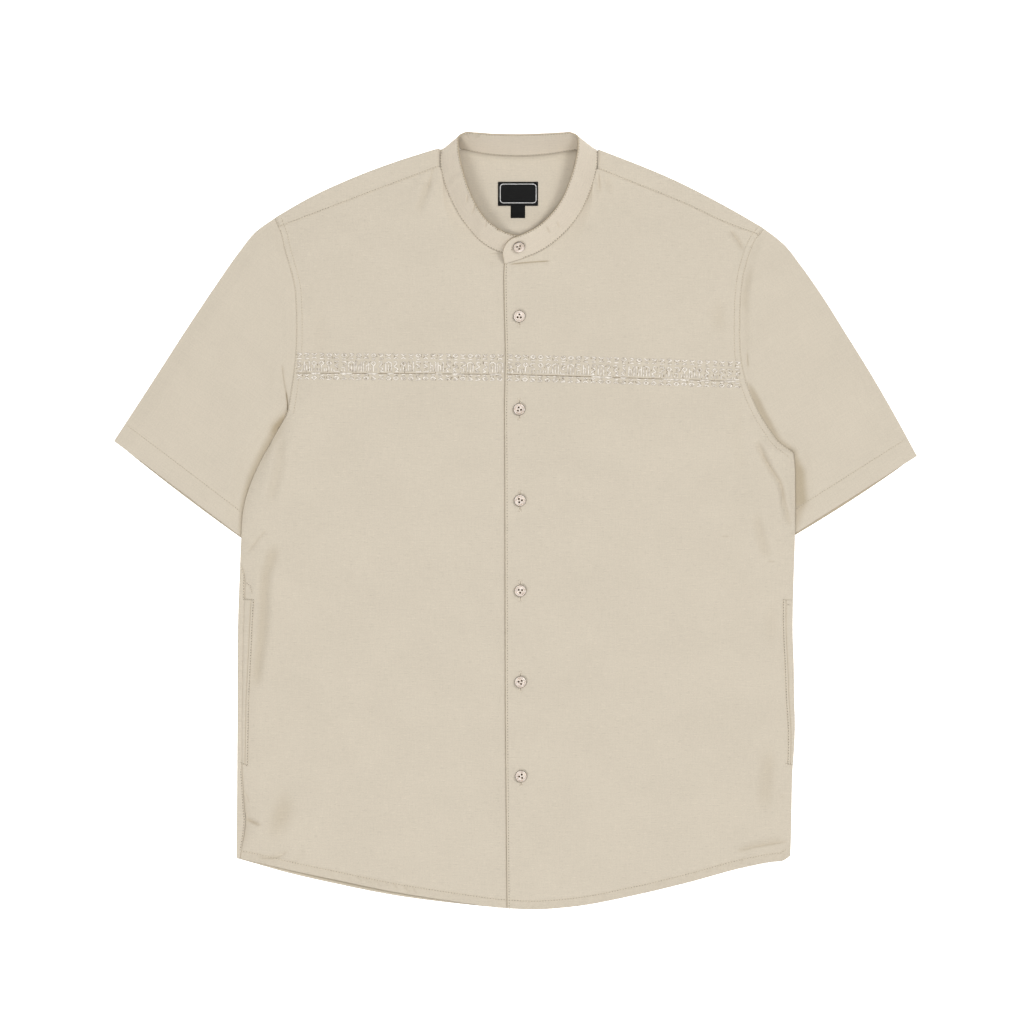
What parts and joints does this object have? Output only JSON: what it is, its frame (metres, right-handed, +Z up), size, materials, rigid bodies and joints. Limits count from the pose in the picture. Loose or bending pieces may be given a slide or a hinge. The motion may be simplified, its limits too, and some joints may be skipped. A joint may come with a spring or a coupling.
{
  "type": "baju koko",
  "caption": "Short-sleeved band-collar shirt in plain slub cotton with an embroidered chest band, buttoned and laid flat on its back.",
  "frame": {"origin": "under the middle of the laid shirt, on the surface that it lies on", "axes": "+X to the viewer's right across the shirt, +Y from the hem towards the collar, +Z up from the surface"},
  "size_m": [0.803, 0.776, 0.0222],
  "materials": {
    "cloth": "matte beige slub weave",
    "label": "black woven satin",
    "button": "cream pearly resin",
    "thread": "off-white sewing and embroidery thread"
  },
  "bodies": {
    "root": {"back_panel": "cloth", "yoke": "cloth", "front_under": "cloth", "front_over": "cloth", "sleeve_left": "cloth", "sleeve_right": "cloth", "collar_band": "cloth", "pocket_welt_left": "cloth", "pocket_welt_right": "cloth", "neck_label": "label", "size_tab": "label", "button_1": "button", "button_2": "button", "button_3": "button", "button_4": "button", "button_5": "button", "button_6": "button", "button_7": "button"}
  },
  "joints": []
}
